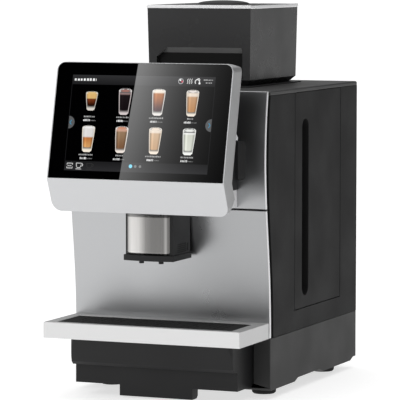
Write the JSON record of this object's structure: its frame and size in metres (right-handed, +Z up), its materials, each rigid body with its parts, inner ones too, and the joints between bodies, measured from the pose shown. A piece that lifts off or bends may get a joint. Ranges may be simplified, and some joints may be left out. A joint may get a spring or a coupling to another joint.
{
  "type": "hot coffee vending machine",
  "caption": "Tabletop bean-to-cup coffee machine with a leaning touch screen on a swinging front door, bean hopper, sliding spout, drip tray and side water tank.",
  "frame": {"origin": "on the table, under the middle of the whole machine's box", "axes": "+Z up, -Y towards the user (front), +X to the user's right, where the water tank slides out"},
  "size_m": [0.3, 0.486, 0.5543],
  "materials": {
    "satin_silver": "satin bead-blasted silver finish, soft blurred reflections",
    "silver_plastic": "satin silver paint on moulded plastic",
    "tray_silver": "bright satin silver",
    "rim_silver": "satin silver edge band",
    "black_shell": "fine-textured black-grey moulded plastic",
    "base_shell": "fine-textured dark grey moulded plastic",
    "black_trim": "matt black moulded plastic",
    "smoke_hopper": "smoked dark plastic with a soft gloss",
    "screen_glass": "black cover glass, mirror smooth",
    "brushed_steel": "vertically brushed stainless steel",
    "steel": "plain bright steel",
    "cast_alloy": "cast alloy",
    "zinc_sheet": "zinc-plated sheet steel",
    "rubber": "matt black rubber",
    "circuit": "green circuit board with parts",
    "tank_clear": "clear blue-grey tank plastic",
    "brass": "turned brass",
    "inner_plastic": "glass-filled black plastic",
    "red_plastic": "red switch plastic"
  },
  "bodies": {
    "cabinet": {"base_pan": "base_shell", "rubber_feet": "rubber", "inner_frame": "zinc_sheet", "left_panel": "black_shell", "right_panel": "black_shell", "back_panel": "black_shell", "top_lid": "base_shell", "lower_panel": "satin_silver", "spout_rails": "steel", "hinge_brackets": "steel", "hinge_pins": "steel", "hopper_seat": "black_trim", "hopper_body": "smoke_hopper", "hopper_rim": "rim_silver", "grinder_body": "cast_alloy", "upper_burr": "steel", "grinder_motor": "zinc_sheet", "coffee_chute": "inner_plastic", "brew_frame": "inner_plastic", "brew_chamber": "inner_plastic", "brew_motor": "zinc_sheet", "boiler": "steel", "water_pump": "brass", "flow_meter": "inner_plastic", "valve_block": "brass", "power_supply": "zinc_sheet", "control_board": "circuit", "fan_frame": "black_trim", "power_inlet": "black_trim", "panel_screws": "steel"},
    "door": {"upper_door": "satin_silver", "door_liner": "inner_plastic", "screen_bracket": "black_trim", "screen_neck": "silver_plastic", "screen_latch": "silver_plastic", "screen_housing": "silver_plastic", "screen_back": "black_trim", "screen_glass": "screen_glass", "screen_panel": "inner_plastic", "screen_board": "circuit"},
    "spout": {"spout_housing": "black_trim", "spout_plate": "brushed_steel", "spout_nozzles": "black_trim", "spout_carriage": "inner_plastic"},
    "drip_tray": {"tray_frame": "tray_silver", "drip_container": "black_trim", "grounds_bin": "inner_plastic"},
    "grille": {"cup_grille": "black_trim"},
    "tank": {"water_tank": "tank_clear", "tank_cover": "black_shell", "tank_lid": "inner_plastic"},
    "bean_lid": {"hopper_lid": "black_trim"},
    "bean_gate": {"hopper_gate": "black_trim"},
    "rocker": {"power_rocker": "red_plastic"},
    "burr": {"lower_burr": "steel"},
    "fan": {"fan_rotor": "black_trim"},
    "piston": {"brew_piston": "steel"},
    "screw": {"brew_screw": "steel"}
  },
  "joints": [
    {"name": "door_hinge", "type": "hinge", "parent": "cabinet", "child": "door", "pos_m": [-0.146, -0.126, 0.343], "axis": [0, 0, -1], "range_deg": [0, 100]},
    {"name": "spout_slide", "type": "slide", "parent": "cabinet", "child": "spout", "axis": [0, 0, 1], "range_m": [-0.03, 0]},
    {"name": "tray_slide", "type": "slide", "parent": "cabinet", "child": "drip_tray", "axis": [0, -1, 0], "range_m": [0, 0.22]},
    {"name": "grille_lift", "type": "slide", "parent": "drip_tray", "child": "grille", "axis": [0, 0, 1], "range_m": [0, 0.05]},
    {"name": "tank_slide", "type": "slide", "parent": "cabinet", "child": "tank", "axis": [1, 0, 0], "range_m": [0, 0.11]},
    {"name": "bean_lid_lift", "type": "slide", "parent": "cabinet", "child": "bean_lid", "axis": [0, 0, 1], "range_m": [0, 0.08]},
    {"name": "bean_gate_slide", "type": "slide", "parent": "cabinet", "child": "bean_gate", "axis": [0, -1, 0], "range_m": [0, 0.045]},
    {"name": "power_rock", "type": "hinge", "parent": "cabinet", "child": "rocker", "pos_m": [-0.111, 0.235, 0.166], "axis": [1, 0, 0], "range_deg": [0, 12]},
    {"name": "burr_spin", "type": "hinge", "parent": "cabinet", "child": "burr", "pos_m": [0, 0.0801, 0.385], "axis": [0, 0, 1], "continuous": true},
    {"name": "fan_spin", "type": "hinge", "parent": "cabinet", "child": "fan", "pos_m": [0, 0.228, 0.33], "axis": [0, 1, 0], "continuous": true},
    {"name": "brew_press", "type": "slide", "parent": "cabinet", "child": "piston", "axis": [0, 0, 1], "range_m": [-0.06, 0]},
    {"name": "brew_screw_spin", "type": "hinge", "parent": "cabinet", "child": "screw", "pos_m": [0.036, -0.047, 0.19], "axis": [0, 0, 1], "range_deg": [-1801, 1]}
  ],
  "couplings": [
    {"joint": "brew_screw_spin", "follows": "brew_press", "rad_per_m": 523.6}
  ]
}
